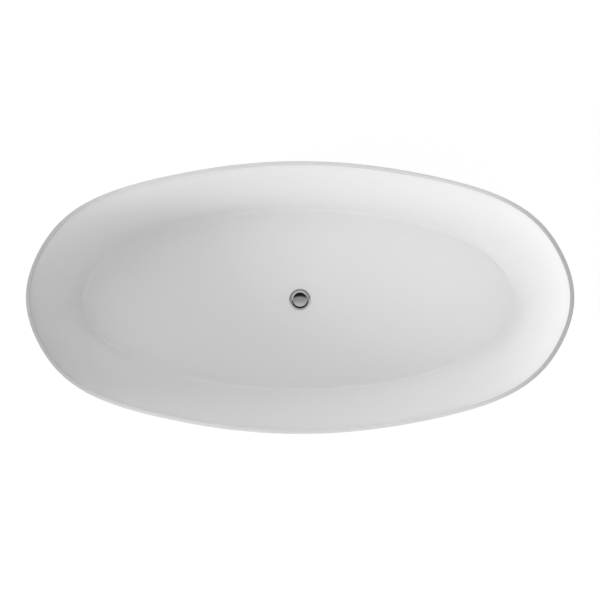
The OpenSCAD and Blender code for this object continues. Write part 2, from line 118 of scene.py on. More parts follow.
class ShellSizes(bpy.types.PropertyGroup):
    """Sizes of the basin and of the skirt round it"""

    tub_length: length("Length", "Overall length over the rim", CAD_BOX[1].x - CAD_BOX[0].x)
    tub_width: length("Width", "Overall width over the rim", CAD_BOX[1].y - CAD_BOX[0].y)
    tub_height: length("Height", "Height of the rim above the floor", CAD_BOX[1].z)
    rim_land: length("Rim land", "Width of the flat top of the rim", 14 * MM)
    rim_thick: length("Rim thickness", "Thickness of the rim flange", 8 * MM)
    rim_roll: length("Rim roll", "Radius rolled on both edges of the rim", 2.5 * MM)
    shoulder_swell: share("Shoulder swell", "How far the shoulders swell past an ellipse", 0.046)
    shoulder_at: angle("Shoulder place", "Angle of a shoulder from the long axis", 41)
    shoulder_spread: angle("Shoulder spread", "Spread of a shoulder along the outline", 19)
    end_slope: length("End slope", "Run of the sloped wall at each end", 138 * MM)
    side_slope: length("Side slope", "Run of the sloped wall at each side", 125 * MM)
    floor_swell: share("Floor swell", "Share of the shoulders that the floor keeps", 0.35)
    seat_height: length("Seat height", "Height of the level seat round the waste", 144 * MM)
    floor_fall: length("Floor fall", "Fall of the floor from its edge to the waste", 6 * MM)
    corner_radius: length("Corner radius", "Radius between the wall and the floor", 16 * MM)
    basin_wall: length("Basin wall", "Wall of the basin", 7 * MM)
    seat_radius: length("Seat radius", "Radius of the level seat round the waste", 46 * MM)
    waste_hole: length("Waste hole", "Radius of the hole for the waste", 25 * MM)
    end_inset: length("End inset", "How far the skirt's foot stands in at each end", 70 * MM)
    side_inset: length("Side inset", "How far the skirt's foot stands in at each side", 61 * MM)
    skirt_wall: length("Skirt wall", "Wall of the skirt", 5 * MM)
    skirt_gap: length("Skirt gap", "Gap between the skirt and the floor", 6 * MM)
    skirt_belly: FloatProperty(name="Skirt belly", default=0.8, min=0.5, max=1.0,
                               description="Fullness of the skirt's side, 1 is straight")
    skirt_flange: length("Skirt flange", "Width of the flange turned in at the foot", 30 * MM)
    bond: length("Glue line", "Thickness of the glue line under the rim", 1 * MM)


class WasteSizes(bpy.types.PropertyGroup):
    """Sizes of the waste and of its click plug"""

    flange_radius: length("Flange radius", "Outer radius of the waste flange", 35 * MM)
    seal: length("Seal", "Thickness of the rubber ring under the flange", 1.5 * MM)
    lip: length("Lip height", "Height of the flange over its seal", 3 * MM)
    crest_in: length("Crest", "Distance of the ring's crest from the outer edge", 4 * MM)
    ring_fall: length("Ring fall", "Fall of the ring from its crest to the gap", 1.3 * MM)
    cap_gap: length("Cap gap", "Gap between the cap and the ring", 0.5 * MM)
    cap_radius: length("Cap radius", "Radius of the plug's cap", 23 * MM)
    cap_edge: length("Cap edge", "Height of the cap's edge", 3.2 * MM)
    cap_dome: length("Cap dome", "Rise of the cap's dome", 2.6 * MM)
    bore_radius: length("Bore", "Radius of the bore of the tail", 20 * MM)
    tail_radius: length("Tail", "Radius of the thread of the tail", 23.9 * MM)
    neck_radius: length("Neck", "Radius of the plain neck above the thread", 23.5 * MM)
    tail_pitch: length("Tail pitch", "Pitch of the tail's thread", 2.309 * MM)
    dish_rise: length("Dish", "Height of the dish under the cap over the seat", 0.4 * MM)
    web_drop: length("Web drop", "Depth of the web's foot below the dish", 26 * MM)
    web_width: length("Web", "Thickness of the cross web that holds the plug", 4 * MM)
    web_height: length("Web height", "Height of the cross web", 8 * MM)
    boss_radius: length("Boss", "Radius of the boss in the middle of the web", 11.5 * MM)
    boss_bore: length("Boss bore", "Radius of the bore through the boss", 5.1 * MM)


class FootSizes(bpy.types.PropertyGroup):
    """Sizes of the screw feet"""

    stud_radius: length("Stud radius", "Radius of the thread of a foot", 6 * MM)
    stud_pitch: length("Stud pitch", "Pitch of the thread of a foot", 1.75 * MM)
    head_height: length("Head height", "Height of the round head in the pad", 5 * MM)
    head_radius: length("Head radius", "Radius of the round head in the pad", 9.6 * MM)
    plain: length("Plain shank", "Shank without thread above the head", 5 * MM)


class FinishColours(bpy.types.PropertyGroup):
    """Colours of the finishes"""

    acrylic: colour("Acrylic", "Satin white sanitary acrylic", (0.88, 0.88, 0.88))
    # Painted shade: the rim's top is coloured darker than the acrylic, and darker still at both
    # ends.
    rim: colour("Rim", "Sanded top of the rim along the sides", (0.73, 0.73, 0.73))
    rim_end: colour("Rim ends", "Sanded top of the rim at both ends", (0.49, 0.49, 0.49))
    fibre: colour("Glass fibre", "Glass fibre and resin behind the acrylic", (0.72, 0.72, 0.66))
    bond: colour("Glue", "Cured white adhesive", (0.72, 0.71, 0.68))
    chrome: colour("Chrome", "Polished chrome plate", (0.55, 0.555, 0.56))
    zinc: colour("Zinc", "Zinc plated steel", (0.58, 0.59, 0.61))
    steel: colour("Steel", "Stainless steel", (0.56, 0.55, 0.54))
    brass: colour("Brass", "Turned brass", (0.72, 0.5, 0.22))
    chips: colour("Wood chips", "Light chips of the particle board", (0.55, 0.38, 0.21))
    resin: colour("Board resin", "Dark resin between the chips", (0.27, 0.16, 0.075))
    powder: colour("Powder coat", "Grey powder coat of the frame", (0.42, 0.43, 0.44))
    nylon: colour("Nylon", "Moulded black nylon", (0.028, 0.028, 0.03))
    rubber: colour("Rubber", "Moulded black rubber", (0.02, 0.02, 0.02))
    poly: colour("White plastic", "Moulded white polypropylene", (0.74, 0.74, 0.71))


class StudioSettings(bpy.types.PropertyGroup):
    """Camera, floor and light of the studio"""

    camera_height: length("Camera height", "Height of the camera over the rim", 7.5)
    camera_back: length("Camera back", "How far the camera stands towards the near side", 0.113)
    view_width: length("View width", "Width of the view at the rim", 1.8583)
    aim: FloatProperty(name="Aim", default=-0.0077, unit="LENGTH", precision=4,
                       description="Where the camera aims across the tub, at the rim")
    floor_size: length("Floor size", "Side of the square floor", 60.0)
    floor: colour("Floor", "Colour of the floor", (0.6, 0.6, 0.6))
    ambient: FloatProperty(name="Ambient", default=0.12, min=0.0,
                           description="Strength of the even light from all round")
    gloss_walls: FloatProperty(name="Gloss walls", default=1.0, min=0.0,
                               description="Strength of the walls that gloss mirrors")
    floor_glow: FloatProperty(name="Floor glow", default=1.15, min=0.0,
                              description="Strength of the floor's white glow where it is seen")
    glow_share: share("Glow share", "How much of it shows over the floor's own colour", 0.8)


# ---------------------------------------------------------------- mesh making

def piece(name, mesh, body, replaced, finishes, crease=30):
    """Makes an object of a mesh: smooth, with sharp edges over `crease` degrees."""
    mesh.shade_smooth()
    mesh.set_sharp_from_angle(angle=math.radians(crease))
    made = bpy.data.objects.new(name, mesh)
    bpy.context.scene.collection.objects.link(made)
    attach(made, body)
    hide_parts(*replaced)
    for finish in finishes:
        mesh.materials.append(finish)


def loft(name, rings, looped=True):
    """A skin over rings with as many points each: a tube closed on itself, or with two lids."""
    form = bmesh.new()
    rows = [[form.verts.new(point) for point in ring] for ring in rings]
    count = len(rows[0])
    pairs = list(zip(rows, rows[1:])) + ([(rows[-1], rows[0])] if looped else [])
    for lower, upper in pairs:
        for i in range(count):
            j = (i + 1) % count
            form.faces.new((lower[i], lower[j], upper[j], upper[i]))
    if not looped:
        form.faces.new(rows[0])
        form.faces.new(rows[-1])
    bmesh.ops.recalc_face_normals(form, faces=form.faces)
    mesh = bpy.data.meshes.new(name)
    form.to_mesh(mesh)
    form.free()
    return mesh


def joined(name, meshes):
    """One mesh that holds several."""
    form = bmesh.new()
    for mesh in meshes:
        form.from_mesh(mesh)
        bpy.data.meshes.remove(mesh)
    whole = bpy.data.meshes.new(name)
    form.to_mesh(whole)
    form.free()
    return whole


def circle(radius, z, steps, centre=(0.0, 0.0)):
    """A round ring of points."""
    return [(centre[0] + radius * math.cos(math.tau * i / steps),
             centre[1] + radius * math.sin(math.tau * i / steps), z) for i in range(steps)]


def thread(radius, pitch, bottom, top, steps, centre=(0.0, 0.0), cuts=6):
    """Rings of an outer screw thread, `cuts` to a turn, that runs out at both ends."""
    depth = 0.6 * pitch
    count = max(2, round((top - bottom) / pitch * cuts))
    rings = []
    for k in range(count + 1):
        z = bottom + (top - bottom) * k / count
        fade = min(1.0, (z - bottom) / pitch, (top - z) / pitch)
        ring = []
        for i in range(steps):
            turn = i / steps
            phase = (z / pitch - turn) % 1.0
            # Straight flanks between a narrow flat root and a narrow flat crest
            ridge = min(1.0, max(0.0, 1.3 * abs(2 * phase - 1) - 0.15))
            r = radius - depth * (1 - ridge * fade)
            ring.append((centre[0] + r * math.cos(math.tau * turn),
                         centre[1] + r * math.sin(math.tau * turn), z))
        rings.append(ring)
    return rings


def quarter(cuts):
    """Sine and cosine pairs from 0 to 90 degrees."""
    return [(math.sin(math.pi / 2 * q / cuts), math.cos(math.pi / 2 * q / cuts))
            for q in range(cuts + 1)]


# ---------------------------------------------------------------- outline of the tub

def humps(a, sizes):
    """Sum of the four shoulders at an angle."""
    total = 0.0
    for centre in (sizes.shoulder_at, math.pi - sizes.shoulder_at,
                   math.pi + sizes.shoulder_at, math.tau - sizes.shoulder_at):
        gap = abs(a - centre)
        total += math.exp(-(min(gap, math.tau - gap) / sizes.shoulder_spread) ** 2)
    return total


def swells(sizes):
    """Swell of the outline at each step, nought on both axes."""
    end, side = humps(0.0, sizes), humps(math.pi / 2, sizes)
    made = []
    for i in range(AROUND):
        a = math.tau * i / AROUND
        bulge = humps(a, sizes) - end * math.cos(a) ** 2 - side * math.sin(a) ** 2
        made.append(sizes.shoulder_swell * bulge)
    return made


class Outline:
    """The tub's outline, which all its rings follow."""

    def __init__(self, sizes):
        self.sizes = sizes
        self.swell = swells(sizes)
        self.half_l, self.half_w = sizes.tub_length / 2, sizes.tub_width / 2
        self.mouth = (self.half_l - sizes.rim_land, self.half_w - sizes.rim_land)
        self.floor = (self.mouth[0] - sizes.end_slope, self.mouth[1] - sizes.side_slope)
        self.floor_z = sizes.seat_height + sizes.floor_fall
        self.rise = sizes.tub_height - sizes.rim_roll - self.floor_z

    def point(self, i, half_l, half_w, keep=1.0):
        """Point of the outline at one step."""
        a, k = math.tau * i / AROUND, 1 + keep * self.swell[i]
        return Vector((k * half_l * math.cos(a), k * half_w * math.sin(a)))

    def ring(self, half_l, half_w, z, keep=1.0):
        """A level ring of that half length and half width."""
        return [(*self.point(i, half_l, half_w, keep), z) for i in range(AROUND)]

    def rim(self, inset, z):
        """A level ring at that distance in from the rim's edge."""
        return self.ring(self.half_l - inset, self.half_w - inset, z)

    def floor_point(self, i, factor=1.0):
        """Point of the floor's edge, drawn in by a factor."""
        return self.point(i, self.floor[0] * factor, self.floor[1] * factor,
                          self.sizes.floor_swell)

    def section(self, i):
        """Floor edge, direction to the mouth, run of the wall and where the corner ends."""
        low, high = self.floor_point(i), self.point(i, *self.mouth)
        run, r = (high - low).length, self.sizes.corner_radius
        climb = self.rise - r
        turn = math.atan2(climb, run) - math.acos(r / math.hypot(run, climb))
        return low, (high - low).normalized(), run, turn

    def across(self, place):
        """A ring of points that `place` gives as (run, rise) from the floor's edge."""
        ring = []
        for i in range(AROUND):
            low, out, run, turn = self.section(i)
            s, rise = place(run, turn)
            ring.append((*(low + out * s), self.floor_z + rise))
        return ring

    def corner(self, part, grow=0.0):
        """A ring of the round corner, from the floor at 0 to the wall at 1."""
        r = self.sizes.corner_radius

        def place(run, turn):
            a = -math.pi / 2 + (turn + math.pi / 2) * part
            return (r + grow) * math.cos(a), r + (r + grow) * math.sin(a)
        return self.across(place)

    def wall(self, part, grow=0.0):
        """A ring of the straight wall, from the corner at 0 to the mouth at 1."""
        r = self.sizes.corner_radius

        def place(run, turn):
            low = Vector(((r + grow) * math.cos(turn), r + (r + grow) * math.sin(turn)))
            high = Vector((run + grow / math.cos(turn), self.rise))
            return low.lerp(high, part)
        return self.across(place)


def turn_back(mesh, first, last):
    """Gives the second finish to the rows of a loft from `first` up to `last`."""
    for face in mesh.polygons[first * AROUND:last * AROUND]:
        face.material_index = 1


def basin_rings(sizes):
    """Rings of the basin: its back, outwards and up, then its face, over the rim and in."""
    line = Outline(sizes)
    top, roll = sizes.tub_height, sizes.rim_roll
    under = sizes.seat_height - sizes.basin_wall
    flat_share = 0.92
    flange = top - sizes.rim_thick
    level = (flange - line.floor_z) / line.rise
    back = [circle(sizes.waste_hole, under, AROUND)]
    back.append([(*line.floor_point(i, flat_share), under) for i in range(AROUND)])
    back += [line.corner(k / BACK_CORNER_CUTS, sizes.basin_wall)
             for k in range(BACK_CORNER_CUTS + 1)]
    back.append([(x, y, flange) for x, y, z in line.wall(level, sizes.basin_wall)])
    back.append(line.rim(0.0, flange))

    inner, chamfer = sizes.rim_land - roll, 0.5 * MM
    face = [line.rim(roll * (1 - c), top - roll * (1 - s)) for s, c in quarter(ROLL_CUTS)]
    face += [line.rim(inner + roll * s, top - roll * (1 - c)) for s, c in quarter(ROLL_CUTS)]
    face += [line.wall(1 - k / WALL_CUTS) for k in range(1, WALL_CUTS + 1)]
    face += [line.corner(1 - k / CORNER_CUTS) for k in range(1, CORNER_CUTS + 1)]
    seat = circle(sizes.seat_radius, sizes.seat_height, AROUND)
    edge = [Vector(point) for point in line.corner(0.0)]
    for k in range(1, FLOOR_CUTS + 1):
        face.append([tuple(e.lerp(Vector(s), k / FLOOR_CUTS)) for e, s in zip(edge, seat)])
    face.append(circle(sizes.waste_hole + chamfer, sizes.seat_height, AROUND))
    face.append(circle(sizes.waste_hole, sizes.seat_height - chamfer, AROUND))
    return back, face


def skirt_rings(sizes):
    """Rings of the skirt: its face, from the foot flange up, then its back, down again."""
    line = Outline(sizes)
    top = sizes.tub_height - sizes.rim_thick - sizes.bond
    foot, nose = sizes.skirt_gap, 1.5 * MM
    flange_top = foot + sizes.skirt_wall

    def at(part, inset, z=None):
        s = part ** sizes.skirt_belly
        return line.ring(line.half_l - sizes.end_inset * (1 - s) - inset,
                         line.half_w - sizes.side_inset * (1 - s) - inset,
                         foot + (top - foot) * part if z is None else z)

    face = [at(0, sizes.skirt_flange, foot)]
    face += [at(0, nose * (1 - s), foot + nose * (1 - c)) for s, c in quarter(NOSE_CUTS)]
    face += [at(k / SKIRT_CUTS, 0.0) for k in range(1, SKIRT_CUTS + 1)]
    back = [at(k / SKIRT_CUTS, sizes.skirt_wall) for k in range(SKIRT_CUTS, 1, -1)]
    back += [at(0, sizes.skirt_wall, flange_top), at(0, sizes.skirt_flange, flange_top)]
    return face, back


# ---------------------------------------------------------------- rings of the waste and feet

def waste_rings(seat, sizes, nut, foot):
    """Rings of the waste: its thread up to the nut, the neck, the ring and down the bore."""
    lip, dish = seat + sizes.seal, seat + sizes.dish_rise
    top = lip + sizes.lip
    drip, clear, bevel, small = 2 * MM, 0.3 * MM, 0.6 * MM, 0.4 * MM
    edge, crest = sizes.flange_radius, sizes.flange_radius - sizes.crest_in
    mouth = sizes.cap_radius + sizes.cap_gap
    inner = mouth + clear
    profile = [(sizes.neck_radius, nut), (sizes.neck_radius, lip),
               (edge - drip, lip), (edge - drip, seat + clear),
               (edge - bevel, seat + clear), (edge, lip)]
    profile += [(crest + sizes.crest_in * c, lip + sizes.lip * s)
                for s, c in quarter(LIP_CUTS)[1:]]
    for k in range(1, LIP_CUTS + 1):
        part = k / LIP_CUTS
        profile.append((crest + (inner - crest) * part, top - sizes.ring_fall * part ** 2))
    profile += [(mouth, top - sizes.ring_fall - clear), (mouth, dish),
                (sizes.bore_radius + bevel, dish),
                (sizes.bore_radius, dish - bevel), (sizes.bore_radius, foot)]
    root = sizes.tail_radius - 1.4 * MM
    rings = [circle(root, foot, WASTE_AROUND)]
    rings += thread(sizes.tail_radius, sizes.tail_pitch, foot + small, nut - small,
                    WASTE_AROUND)
    return rings + [circle(r, z, WASTE_AROUND) for r, z in profile]


def boss_rings(sizes, foot):
    """Rings of the boss in the middle of the cross web, with both edges chamfered."""
    chamfer, bore, outer = 0.8 * MM, sizes.boss_bore, sizes.boss_radius
    top = foot + sizes.web_height
    profile = ((bore, foot), (outer - chamfer, foot), (outer, foot + chamfer),
               (outer, top - chamfer), (outer - chamfer, top), (bore, top))
    return [circle(r, z, BOSS_AROUND) for r, z in profile]


def spoke_rings(sizes, foot, turn):
    """Both end sections of one arm of the cross web, let 1 mm into its neighbours."""
    half, chamfer, sunk = sizes.web_width / 2, 0.7 * MM, 1 * MM
    top = sizes.web_height
    c, s = math.cos(turn), math.sin(turn)
    section = ((chamfer - half, 0), (half - chamfer, 0), (half, chamfer),
               (half, top - chamfer), (half - chamfer, top), (chamfer - half, top),
               (-half, top - chamfer), (-half, chamfer))
    return [[(c * r - s * y, s * r + c * y, foot + z) for y, z in section]
            for r in (sizes.boss_radius - sunk, sizes.bore_radius + sunk)]


def cap_rings(sizes, low):
    """Rings of the plug's cap: its flat underside, its rounded edge and its dome."""
    r, dome = sizes.cap_radius, sizes.cap_dome
    socket, chamfer, nose = 4 * MM, 1 * MM, 0.8 * MM
    ball = (r * r + dome * dome) / (2 * dome)
    middle = low + sizes.cap_edge + dome - ball
    start = math.asin((r - nose) / ball)
    side = middle + math.sqrt(ball ** 2 - (r - nose) ** 2)
    profile = [(socket, low), (r - chamfer, low), (r, low + chamfer)]
    profile += [(r - nose + nose * c, side - nose + nose * s) for s, c in quarter(NOSE_CUTS)]
    for k in range(1, DOME_CUTS):
        a = start * (1 - k / DOME_CUTS)
        profile.append((ball * math.sin(a), middle + ball * math.cos(a)))
    return [circle(radius, z, WASTE_AROUND) for radius, z in profile]


def stud_rings(sizes, bottom, top, centre):
    """Rings of a screw foot's stud: a round head, a plain shank and a thread to the top."""
    r, head, chamfer, point = sizes.stud_radius, sizes.head_radius, 0.8 * MM, 1.6 * MM
    neck = bottom + sizes.head_height
    shank = neck + sizes.plain
    profile = ((head - chamfer, bottom), (head, bottom + chamfer), (head, neck - chamfer),
               (head - chamfer, neck), (r, neck), (r, shank))
    rings = [circle(radius, z, STUD_AROUND, centre) for radius, z in profile]
    rings += thread(r, sizes.stud_pitch, shank + 0.2 * MM, top - chamfer, STUD_AROUND,
                    centre, cuts=5)
    return rings + [circle(r - point, top, STUD_AROUND, centre)]


# ---------------------------------------------------------------- shader maths

class Wire:
    """A socket's value in a node tree; arithmetic on it adds Math nodes."""

    def __init__(self, nodes, socket):
        self.nodes, self.socket = nodes, socket

    def _math(self, operation, *values):
        return self.nodes.node("ShaderNodeMath", {"operation": operation},
                               dict(enumerate(values)))

    def __add__(self, other):
        return self._math("ADD", self, other)

    def __sub__(self, other):
        return self._math("SUBTRACT", self, other)

    def __rsub__(self, other):
        return self._math("SUBTRACT", other, self)

    def __mul__(self, other):
        return self._math("MULTIPLY", self, other)

    def __truediv__(self, other):
        return self._math("DIVIDE", self, other)

    def __rtruediv__(self, other):
        return self._math("DIVIDE", other, self)

    __radd__, __rmul__ = __add__, __mul__

    def ramp(self, low, high):
        """0 below `low`, 1 above `high` and smooth between them."""
        return self.nodes.node(
            "ShaderNodeMapRange", {"interpolation_type": "SMOOTHSTEP"},
            {"Value": self, "From Min": low, "From Max": high})


class Nodes:
    """A node tree under construction."""

    def __init__(self, tree):
        self.tree = tree

    def node(self, kind, settings=None, inputs=None, output=0):
        """Adds a node: its settings first, then the values or links of its sockets."""
        made = self.tree.nodes.new(kind)
        for key, value in (settings or {}).items():
            setattr(made, key, value)
        for key, value in (inputs or {}).items():
            self.feed(made.inputs[key], value)
        return Wire(self, made.outputs[output])

    def feed(self, socket, value):
        """Links or sets one socket."""
        if isinstance(value, Wire):
            self.tree.links.new(value.socket, socket)
        elif socket.type == "RGBA":
            socket.default_value = (*value, 1.0)
        else:
            socket.default_value = value

    def part(self, vector, axis):
        """One of the three numbers of a vector."""
        return self.node("ShaderNodeSeparateXYZ", {}, {0: vector}, axis)

    def rays(self, *kinds):
        """1 on rays of these kinds and 0 on the others."""
        hits = [self.node("ShaderNodeLightPath", output=f"Is {kind} Ray") for kind in kinds]
        return sum(hits[1:], hits[0]).ramp(0.0, 1.0)


class Finish(Nodes):
    """A procedural material under construction."""

    def __init__(self, name, constants):
        self.material = bpy.data.materials.new(name)
        self.material.use_nodes = True
        super().__init__(self.material.node_tree)
        self.shader = self.tree.nodes["Principled BSDF"]
        for socket, value in constants.items():
            self.set(socket, value)

    def set(self, name, value):
        """Feeds a socket of the shader."""
        self.feed(self.shader.inputs[name], value)

    def place(self):
        """Where the surface lies on the tub at rest, in metres."""
        return self.node("ShaderNodeTexCoord", output="Object")

    def stretched(self, factors):
        """The place, scaled along each axis."""
        return self.node("ShaderNodeVectorMath", {"operation": "MULTIPLY"},
                         {0: self.place(), 1: factors})

    def noise(self, per_metre, detail=3.0, rough=0.5, where=None, output=0):
        """Soft noise from 0 to 1 with that many lumps to the metre."""
        return self.node("ShaderNodeTexNoise", {},
                         {"Vector": where or self.place(), "Scale": per_metre,
                          "Detail": detail, "Roughness": rough}, output)

    def cells(self, per_metre, where=None, channel=0):
        """A tone from 0 to 1 for each cell of a pattern, another one on each channel."""
        pattern = self.node("ShaderNodeTexVoronoi", {},
                            {"Vector": where or self.place(), "Scale": per_metre}, "Color")
        return self.node("ShaderNodeSeparateColor", {}, {0: pattern}, channel)

    def mix(self, low, high, factor):
        """A colour between two colours."""
        return self.node("ShaderNodeMix", {"data_type": "RGBA"},
                         {0: factor, 6: low, 7: high}, 2)

    def bump(self, height, distance):
        """Relief of the surface, `distance` metres high."""
        self.set("Normal", self.node("ShaderNodeBump", {},
                                     {"Height": height, "Distance": distance,
                                      "Strength": 1.0}))


def once(make):
    """Makes a finish at its first call and gives that same finish afterwards."""

    @functools.wraps(make)
    def shared(*values):
        return bpy.data.materials.get(make.__name__) or make(*values)
    return shared


def shade(tone, factor):
    """A colour made darker or lighter."""
    return tuple(min(1.0, c * factor) for c in tone)


# ---------------------------------------------------------------- finishes

@once
def satin_acrylic(colours, sizes):
    """Satin white acrylic: painted shade on the rim's top, darkest at both ends, a faint drift
    of tone and the ripple of a vacuum form.
    """
    made = Finish("satin_acrylic", {"IOR": 1.49})
    place = made.place()
    top, roll = sizes.tub_height, sizes.rim_roll
    # The rim's top: painted shade in its colour, and more roughness in its finish
    rim = made.part(place, "Z").ramp(top - 0.8 * roll, top - 0.2 * roll)
    drift = made.noise(2.2, detail=2.0)
    body = made.mix(shade(colours.acrylic, 0.985), shade(colours.acrylic, 1.012), drift)
    # The rim's painted shade grows darker towards both ends of the tub
    far = made.part(place, "X") / (0.5 * sizes.tub_length)
    end = (far * far).ramp(0.3, 0.9)
    edge = made.mix(tuple(colours.rim), tuple(colours.rim_end), end)
    made.set("Base Color", made.mix(body, edge, rim))
    haze = made.noise(35.0, detail=4.0, rough=0.6)
    made.set("Roughness", 0.22 + 0.07 * haze + 0.2 * rim)
    ripple = made.noise(9.0, detail=2.0)
    grain = made.noise(900.0, detail=2.0)
    made.bump(ripple + 0.04 * grain, 0.12 * MM)
    return made.material


@once
def skirt_acrylic(colours, sizes):
    """Satin white acrylic of the skirt, a little darker and duller towards its foot."""
    made = Finish("skirt_acrylic", {"IOR": 1.49})
    height = made.part(made.place(), "Z")
    drift = made.noise(1.8, detail=2.0)
    body = made.mix(shade(colours.acrylic, 0.985), shade(colours.acrylic, 1.01), drift)
    foot = 1 - height.ramp(sizes.skirt_gap, sizes.skirt_gap + 30 * MM)
    made.set("Base Color", made.mix(body, shade(colours.acrylic, 0.94), foot))
    haze = made.noise(30.0, detail=4.0, rough=0.6)
    made.set("Roughness", 0.3 + 0.07 * haze + 0.08 * foot)
    ripple = made.noise(7.0, detail=2.0)
    grain = made.noise(900.0, detail=2.0)
    made.bump(ripple + 0.04 * grain, 0.14 * MM)
    return made.material


@once
def glass_fibre(colours):
    """Back of the shells: chopped glass strands, laid three ways, rolled into pale resin."""
    made = Finish("glass_fibre", {"IOR": 1.5})
    pool = made.noise(26.0, detail=4.0, rough=0.6)
    ways = ((0.07, 1.0, 0.5), (1.0, 0.07, 0.25), (0.6, 0.6, 0.06))
    strands = [made.noise(330.0, detail=2.0, where=made.stretched(way)).ramp(0.4, 0.65)
               for way in ways]
    mat = sum(strands[1:], strands[0]) / len(ways)
    made.set("Base Color", made.mix(shade(colours.fibre, 0.86), shade(colours.fibre, 1.06),
                                    0.7 * mat + 0.3 * pool))
    made.set("Roughness", 0.38 + 0.3 * mat)
    made.bump(mat + 0.8 * pool, 0.5 * MM)
    return made.material


@once
def glue_line(colours):
    """Cured adhesive with a wavy squeezed edge."""
    made = Finish("glue_line", {"IOR": 1.5})
    lumps = made.noise(120.0)
    made.set("Base Color", made.mix(shade(colours.bond, 0.9), tuple(colours.bond), lumps))
    made.set("Roughness", 0.5 + 0.15 * lumps)
    made.bump(lumps, 0.4 * MM)
    return made.material


@once
def chrome_plate(colours):
    """Polished chrome with faint water haze and polishing marks."""
    made = Finish("chrome_plate", {"Metallic": 1.0})
    haze = made.noise(260.0, detail=4.0, rough=0.6)
    marks = made.noise(2200.0, detail=1.0, where=made.stretched((1.0, 0.12, 1.0)))
    made.set("Base Color", made.mix(shade(colours.chrome, 0.95), tuple(colours.chrome), haze))
    made.set("Roughness", 0.06 + 0.05 * haze + 0.02 * marks)
    made.bump(marks, 0.002 * MM)
    return made.material


@once
def zinc_plate(colours):
    """Zinc plate: mottled, a little bluish, dulled in patches."""
    made = Finish("zinc_plate", {"Metallic": 1.0})
    patches = made.noise(140.0, detail=4.0, rough=0.65)
    tone = made.mix(shade(colours.zinc, 0.78), shade(colours.zinc, 1.08), patches)
    spangle = made.cells(420.0)
    made.set("Base Color", made.mix(tone, shade(colours.zinc, 1.15), 0.35 * spangle))
    made.set("Roughness", 0.28 + 0.22 * patches)
    made.bump(patches, 0.02 * MM)
    return made.material


@once
def drawn_steel(colours):
    """Stainless steel with fine lines along its length."""
    made = Finish("drawn_steel", {"Metallic": 1.0})
    lines = made.noise(900.0, detail=2.0, where=made.stretched((1.0, 1.0, 0.06)))
    made.set("Base Color", made.mix(shade(colours.steel, 0.85), tuple(colours.steel), lines))
    made.set("Roughness", 0.2 + 0.15 * lines)
    made.bump(lines, 0.006 * MM)
    return made.material


@once
def turned_brass(colours):
    """Brass with the fine rings that a lathe leaves."""
    made = Finish("turned_brass", {"Metallic": 1.0})
    rings = made.noise(1500.0, detail=1.0, where=made.stretched((0.04, 0.04, 1.0)))
    stain = made.noise(90.0)
    made.set("Base Color", made.mix(shade(colours.brass, 0.72), tuple(colours.brass), stain))
    made.set("Roughness", 0.24 + 0.16 * rings)
    made.bump(rings, 0.01 * MM)
    return made.material


@once
def particle_board(colours):
    """Board of pressed chips: pale flakes and fines in darker resin, with open seams."""
    made = Finish("particle_board", {"IOR": 1.45})
    chip_scale, warp = 300.0, 0.012
    bent = made.node("ShaderNodeMix", {"data_type": "VECTOR"},
                     {0: warp, 4: made.place(),
                      5: made.noise(60.0, detail=2.0, output="Color")}, 1)
    chip = made.cells(chip_scale, where=bent)
    speck = made.cells(760.0, where=made.stretched((1.0, 0.45, 1.0)), channel=1)
    edge = made.node("ShaderNodeTexVoronoi", {"feature": "DISTANCE_TO_EDGE"},
                     {"Vector": bent, "Scale": chip_scale})
    seam = 1 - edge.ramp(0.0, 0.16)
    fibre = made.noise(900.0, where=made.stretched((1.0, 0.2, 1.0)))
    chips = made.mix(shade(colours.chips, 0.62), shade(colours.chips, 1.25),
                     0.4 * chip + 0.3 * speck + 0.3 * fibre)
    dust = 0.55 * (speck.ramp(0.8, 0.95) + 0.5 * seam)
    made.set("Base Color", made.mix(chips, tuple(colours.resin), dust))
    made.set("Roughness", 0.55 + 0.25 * fibre)
    made.bump(0.4 * edge + 0.5 * fibre + 0.2 * speck, 0.3 * MM)
    return made.material


@once
def powder_coat(colours):
    """Grey powder coat with its fine orange peel."""
    made = Finish("powder_coat", {"IOR": 1.5})
    peel = made.noise(650.0, detail=2.0)
    cloud = made.noise(14.0, detail=2.0)
    made.set("Base Color", made.mix(shade(colours.powder, 0.93),
                                    shade(colours.powder, 1.05), cloud))
    made.set("Roughness", 0.42 + 0.16 * peel)
    made.bump(peel, 0.15 * MM)
    return made.material


def moulded(name, tone, per_metre, rough, relief):
    """Moulded plastic or rubber with a fine grain from its mould."""
    made = Finish(name, {"IOR": 1.5})
    grain = made.noise(per_metre)
    flow = made.noise(30.0, detail=2.0)
    made.set("Base Color", made.mix(shade(tone, 0.88), shade(tone, 1.1), flow))
    made.set("Roughness", rough + 0.14 * grain)
    made.bump(grain, relief)
    return made.material


@once
def black_rubber(colours):
    """Matt black rubber of the seals and the soles."""
    return moulded("black_rubber", colours.rubber, per_metre=1200.0, rough=0.62,
                   relief=0.04 * MM)


@once
def black_nylon(colours):
    """Black nylon of the foot pads, with a coarser grain."""
    return moulded("black_nylon", colours.nylon, per_metre=800.0, rough=0.5,
                   relief=0.06 * MM)


@once
def white_poly(colours):
    """White polypropylene of the waste nut and its slip washer."""
    return moulded("white_poly", colours.poly, per_metre=500.0, rough=0.4,
                   relief=0.03 * MM)


def coat(material, *names):
    """Gives CAD nodes a finish."""
    for name in names:
        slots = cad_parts[name].data.materials
        slots.clear()
        slots.append(material)


def nodes_with(start):
    """Names of the CAD nodes that start so."""
    return [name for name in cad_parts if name.startswith(start)]


# ---------------------------------------------------------------- operators

